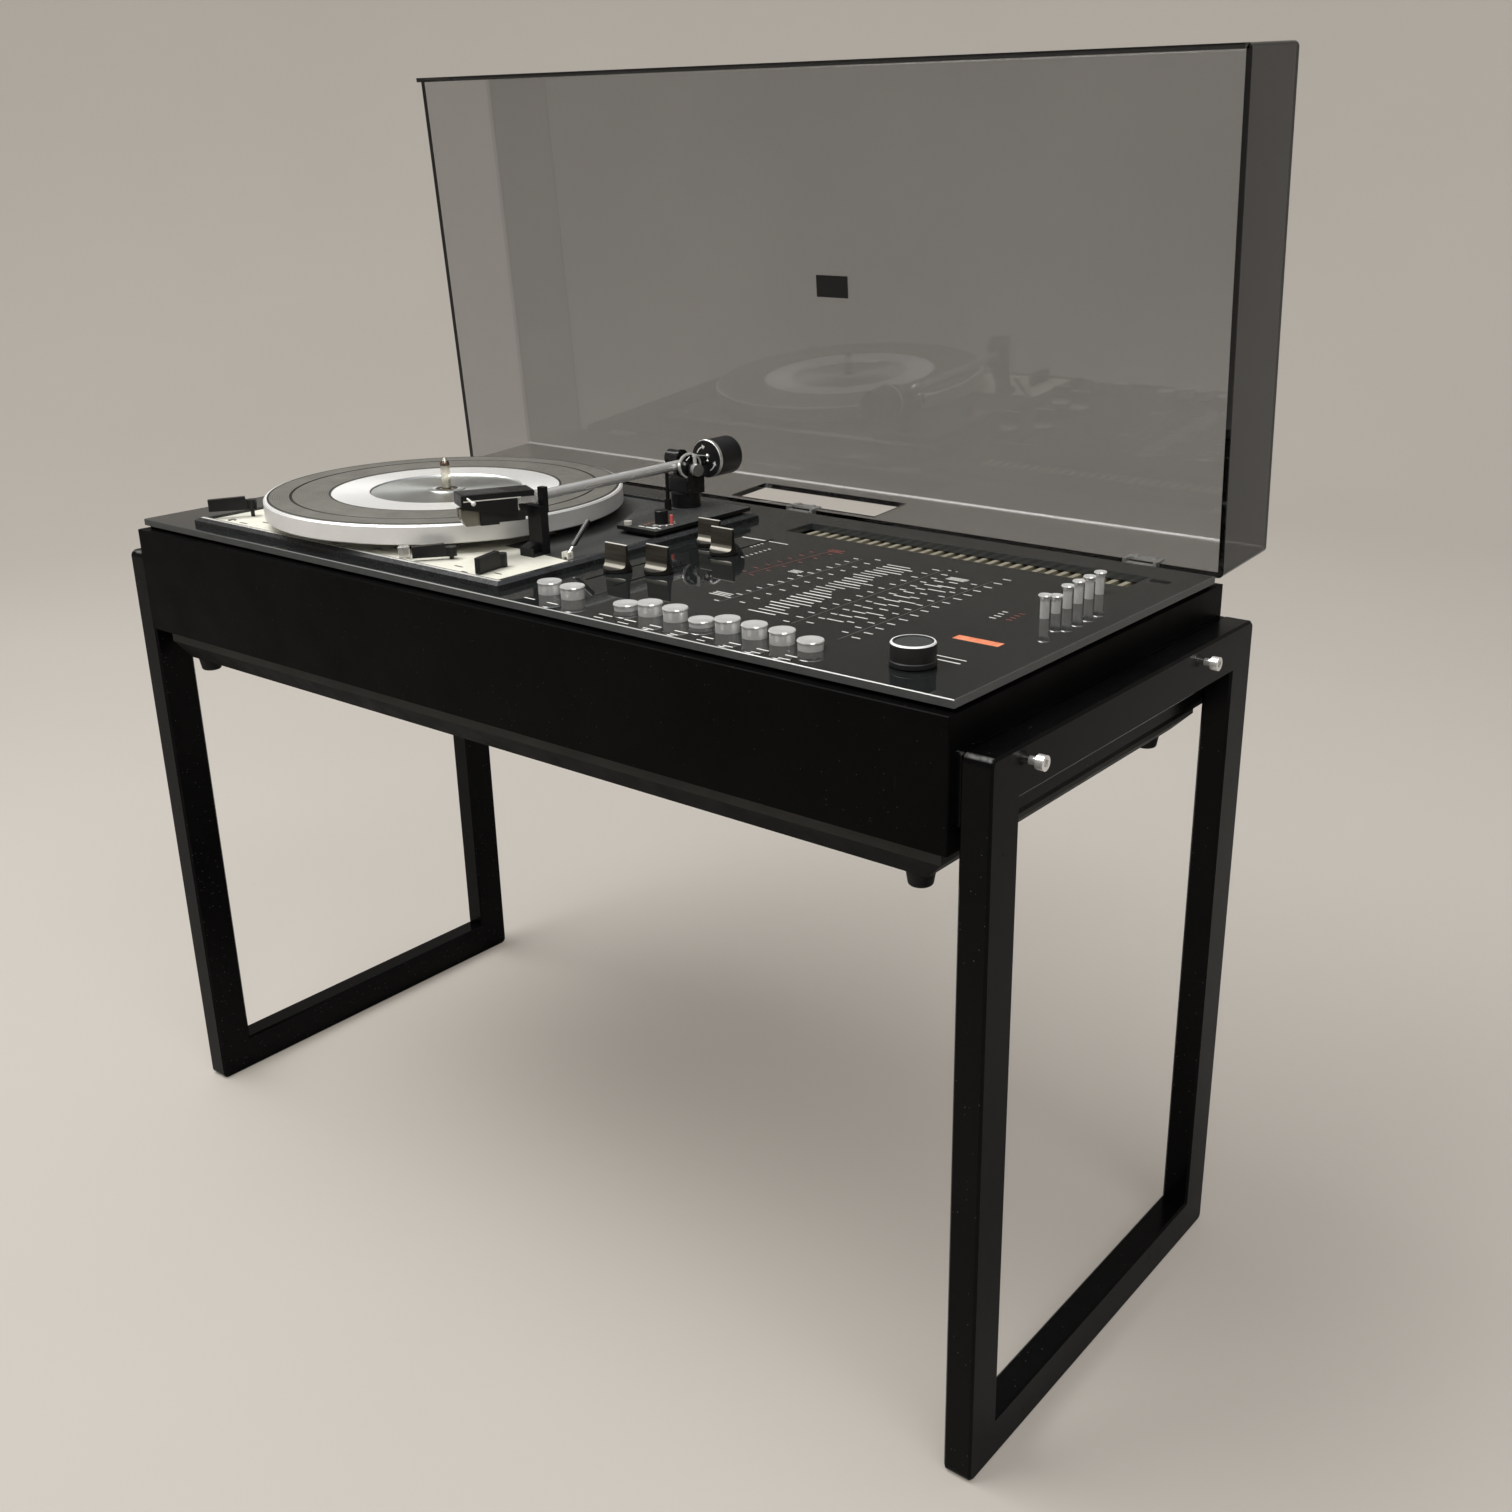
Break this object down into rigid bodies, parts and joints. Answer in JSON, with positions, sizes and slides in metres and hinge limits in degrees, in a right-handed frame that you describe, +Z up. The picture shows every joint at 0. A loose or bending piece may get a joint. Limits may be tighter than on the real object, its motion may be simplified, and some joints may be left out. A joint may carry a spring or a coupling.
{
  "type": "music centre on a hoop stand",
  "caption": "Wide slim radio amplifier and record player cabinet on two box-tube leg hoops, with a smoked lid, tone arm, slide controls, push buttons and knobs.",
  "frame": {"origin": "on the floor, centred under the whole object's width and depth with the lid open", "axes": "+X to the right seen from the front, +Y to the back, +Z up"},
  "size_m": [0.8232, 0.4134, 0.8394],
  "materials": {
    "stand_black": "semi-gloss black enamel with fine scratches",
    "cabinet_black": "satin black enamel",
    "pan_black": "dull black enamel",
    "bolt_steel": "bright turned steel",
    "foot_rubber": "matt black rubber",
    "panel_acrylic": "polished black acrylic sheet",
    "lid_acrylic": "smoked grey transparent acrylic",
    "hinge_metal": "satin, slightly dull",
    "fin_aluminium": "plain, beige",
    "inner_steel": "plain",
    "board_laminate": "resin laminate",
    "socket_black": "moulded",
    "chassis_cream": "satin cream enamel",
    "bezel_aluminium": "black anodised with a bright inner edge",
    "spring_steel": "bright drawn wire",
    "bright_steel": "polished",
    "platter_aluminium": "fine turned",
    "mat_rubber": "matt grey-green",
    "arm_black": "satin moulded",
    "arm_tube_silver": "satin bright tube",
    "weight_black": "matt with a bright ring",
    "button_aluminium": "spun satin",
    "knob_black": "satin black with bright edge",
    "knob_brown": "brushed dark bronze and black",
    "clear_plastic": "cloudy clear",
    "cartridge_grey": "moulded"
  },
  "bodies": {
    "cabinet": {"left_hoop": "stand_black", "right_hoop": "stand_black", "stand_spacers": "stand_black", "stand_bolts": "bolt_steel", "cabinet_shell": "cabinet_black", "rear_panel": "pan_black", "base_pan": "pan_black", "rubber_feet": "foot_rubber", "top_panel": "panel_acrylic", "heat_sink": "fin_aluminium", "mains_transformer": "inner_steel", "circuit_board": "board_laminate", "rear_sockets": "socket_black", "fixed_hinge_leaves": "hinge_metal", "chassis_plate": "chassis_cream", "bezel": "bezel_aluminium", "suspension_springs": "spring_steel", "spindle": "bright_steel", "motor": "inner_steel", "arm_base": "arm_black", "arm_rest": "arm_black"},
    "lid": {"lid": "lid_acrylic", "lid_hinge_leaves": "hinge_metal"},
    "platter": {"platter": "platter_aluminium", "platter_mat": "mat_rubber"},
    "idler_wheel": {"idler_wheel": "mat_rubber"},
    "motor_pulley": {"motor_pulley": "bright_steel"},
    "arm_yoke": {"arm_yoke": "arm_black"},
    "tone_arm": {"tone_arm": "arm_tube_silver", "headshell": "arm_black", "cartridge": "cartridge_grey"},
    "counterweight": {"counterweight": "weight_black"},
    "cue_lever": {"cue_lever": "bright_steel"},
    "lift_rod": {"lift_rod": "arm_black"},
    "antiskate_dial": {"antiskate_dial": "knob_black"},
    "size_lever": {"size_lever": "knob_black"},
    "speed_lever": {"speed_lever": "knob_black"},
    "start_lever": {"start_lever": "knob_black"},
    "trim_knob": {"trim_knob": "clear_plastic"},
    "tuning_knob": {"tuning_knob": "knob_black"},
    "slide_knob_1": {"slide_knob_1": "knob_brown"},
    "slide_knob_2": {"slide_knob_2": "knob_brown"},
    "slide_knob_3": {"slide_knob_3": "knob_brown"},
    "slide_knob_4": {"slide_knob_4": "knob_brown"},
    "push_button_1": {"push_button_1": "button_aluminium"},
    "push_button_2": {"push_button_2": "button_aluminium"},
    "push_button_3": {"push_button_3": "button_aluminium"},
    "push_button_4": {"push_button_4": "button_aluminium"},
    "push_button_5": {"push_button_5": "button_aluminium"},
    "push_button_6": {"push_button_6": "button_aluminium"},
    "push_button_7": {"push_button_7": "button_aluminium"},
    "push_button_8": {"push_button_8": "button_aluminium"},
    "push_button_9": {"push_button_9": "button_aluminium"},
    "push_button_10": {"push_button_10": "button_aluminium"},
    "preset_knob_1": {"preset_knob_1": "button_aluminium"},
    "preset_knob_2": {"preset_knob_2": "button_aluminium"},
    "preset_knob_3": {"preset_knob_3": "button_aluminium"},
    "preset_knob_4": {"preset_knob_4": "button_aluminium"},
    "preset_knob_5": {"preset_knob_5": "button_aluminium"},
    "preset_knob_6": {"preset_knob_6": "button_aluminium"}
  },
  "joints": [
    {"name": "lid_hinge", "type": "hinge", "parent": "cabinet", "child": "lid", "pos_m": [0, 0.1277, 0.5032], "axis": [1, 0, 0], "range_deg": [0, 86.4]},
    {"name": "platter_spin", "type": "hinge", "parent": "cabinet", "child": "platter", "pos_m": [-0.18, -0.0617, 0.525], "axis": [0, 0, 1], "continuous": true},
    {"name": "idler_spin", "type": "hinge", "parent": "cabinet", "child": "idler_wheel", "pos_m": [-0.10575, -0.13595, 0.521], "axis": [0, 0, 1], "continuous": true},
    {"name": "pulley_spin", "type": "hinge", "parent": "cabinet", "child": "motor_pulley", "pos_m": [-0.12188, -0.15207, 0.521], "axis": [0, 0, 1], "continuous": true},
    {"name": "arm_swing", "type": "hinge", "parent": "cabinet", "child": "arm_yoke", "pos_m": [-0.033, 0.0513, 0.54], "axis": [0, 0, 1], "range_deg": [-31, 0]},
    {"name": "arm_lift", "type": "hinge", "parent": "arm_yoke", "child": "tone_arm", "pos_m": [-0.033, 0.0513, 0.547], "axis": [0.9613, -0.2756, 0], "range_deg": [-12, 0]},
    {"name": "counterweight_turn", "type": "hinge", "parent": "tone_arm", "child": "counterweight", "pos_m": [-0.033, 0.0883, 0.55], "axis": [0, 1, 0], "range_deg": [-180, 180]},
    {"name": "cue_turn", "type": "hinge", "parent": "cabinet", "child": "cue_lever", "pos_m": [-0.001, -0.1092, 0.5133], "axis": [1, 0, 0], "range_deg": [0, 80]},
    {"name": "lift_slide", "type": "slide", "parent": "cabinet", "child": "lift_rod", "axis": [0, 0, 1], "range_m": [-0.0061, 0]},
    {"name": "antiskate_turn", "type": "hinge", "parent": "cabinet", "child": "antiskate_dial", "pos_m": [-0.005, -0.0087, 0.52], "axis": [0, 0, 1], "range_deg": [0, 270]},
    {"name": "size_turn", "type": "hinge", "parent": "cabinet", "child": "size_lever", "pos_m": [-0.3, -0.1542, 0.518], "axis": [0, 0, 1], "range_deg": [-20, 20]},
    {"name": "speed_turn", "type": "hinge", "parent": "cabinet", "child": "speed_lever", "pos_m": [-0.066, -0.1567, 0.518], "axis": [0, 0, 1], "range_deg": [0, 40]},
    {"name": "start_turn", "type": "hinge", "parent": "cabinet", "child": "start_lever", "pos_m": [-0.0203, -0.152, 0.518], "axis": [0, 0, 1], "range_deg": [-20, 20]},
    {"name": "trim_turn", "type": "hinge", "parent": "cabinet", "child": "trim_knob", "pos_m": [-0.093, -0.1757, 0.516], "axis": [0, 0, 1], "range_deg": [-135, 135]},
    {"name": "tuning_turn", "type": "hinge", "parent": "cabinet", "child": "tuning_knob", "pos_m": [0.3248, -0.1631, 0.515], "axis": [0, 0, 1], "range_deg": [-150, 150]},
    {"name": "slide_1", "type": "slide", "parent": "cabinet", "child": "slide_knob_1", "axis": [0, 1, 0], "range_m": [-0.026, 0.038]},
    {"name": "slide_2", "type": "slide", "parent": "cabinet", "child": "slide_knob_2", "axis": [0, 1, 0], "range_m": [-0.0385, 0.0255]},
    {"name": "slide_3", "type": "slide", "parent": "cabinet", "child": "slide_knob_3", "axis": [0, 1, 0], "range_m": [-0.028, 0.036]},
    {"name": "slide_4", "type": "slide", "parent": "cabinet", "child": "slide_knob_4", "axis": [0, 1, 0], "range_m": [-0.0118, 0.0522]},
    {"name": "press_1", "type": "slide", "parent": "cabinet", "child": "push_button_1", "axis": [0, 0, -1], "range_m": [0, 0.004], "stiffness_N_per_m": 150, "springref_m": -0.003},
    {"name": "press_2", "type": "slide", "parent": "cabinet", "child": "push_button_2", "axis": [0, 0, -1], "range_m": [0, 0.004], "stiffness_N_per_m": 150, "springref_m": -0.003},
    {"name": "press_3", "type": "slide", "parent": "cabinet", "child": "push_button_3", "axis": [0, 0, -1], "range_m": [-0.0039, 0]},
    {"name": "press_4", "type": "slide", "parent": "cabinet", "child": "push_button_4", "axis": [0, 0, -1], "range_m": [0, 0.004], "stiffness_N_per_m": 150, "springref_m": -0.003},
    {"name": "press_5", "type": "slide", "parent": "cabinet", "child": "push_button_5", "axis": [0, 0, -1], "range_m": [0, 0.004], "stiffness_N_per_m": 150, "springref_m": -0.003},
    {"name": "press_6", "type": "slide", "parent": "cabinet", "child": "push_button_6", "axis": [0, 0, -1], "range_m": [-0.004, 0]},
    {"name": "press_7", "type": "slide", "parent": "cabinet", "child": "push_button_7", "axis": [0, 0, -1], "range_m": [0, 0.004], "stiffness_N_per_m": 150, "springref_m": -0.003},
    {"name": "press_8", "type": "slide", "parent": "cabinet", "child": "push_button_8", "axis": [0, 0, -1], "range_m": [0, 0.004], "stiffness_N_per_m": 150, "springref_m": -0.003},
    {"name": "press_9", "type": "slide", "parent": "cabinet", "child": "push_button_9", "axis": [0, 0, -1], "range_m": [0, 0.004], "stiffness_N_per_m": 150, "springref_m": -0.003},
    {"name": "press_10", "type": "slide", "parent": "cabinet", "child": "push_button_10", "axis": [0, 0, -1], "range_m": [-0.0024, 0]},
    {"name": "preset_turn_1", "type": "hinge", "parent": "cabinet", "child": "preset_knob_1", "pos_m": [0.335, -0.0357, 0.512], "axis": [0, 0, 1], "range_deg": [-150, 150]},
    {"name": "preset_turn_2", "type": "hinge", "parent": "cabinet", "child": "preset_knob_2", "pos_m": [0.335, -0.02155, 0.512], "axis": [0, 0, 1], "range_deg": [-150, 150]},
    {"name": "preset_turn_3", "type": "hinge", "parent": "cabinet", "child": "preset_knob_3", "pos_m": [0.335, -0.0074, 0.512], "axis": [0, 0, 1], "range_deg": [-150, 150]},
    {"name": "preset_turn_4", "type": "hinge", "parent": "cabinet", "child": "preset_knob_4", "pos_m": [0.335, 0.00675, 0.512], "axis": [0, 0, 1], "range_deg": [-150, 150]},
    {"name": "preset_turn_5", "type": "hinge", "parent": "cabinet", "child": "preset_knob_5", "pos_m": [0.335, 0.0209, 0.512], "axis": [0, 0, 1], "range_deg": [-150, 150]},
    {"name": "preset_turn_6", "type": "hinge", "parent": "cabinet", "child": "preset_knob_6", "pos_m": [0.335, 0.03505, 0.512], "axis": [0, 0, 1], "range_deg": [-150, 150]}
  ],
  "couplings": [
    {"joint": "idler_spin", "follows": "platter_spin", "ratio": 6.25},
    {"joint": "pulley_spin", "follows": "platter_spin", "ratio": -44.643},
    {"joint": "lift_slide", "follows": "cue_turn", "m_per_rad": -0.0043}
  ]
}
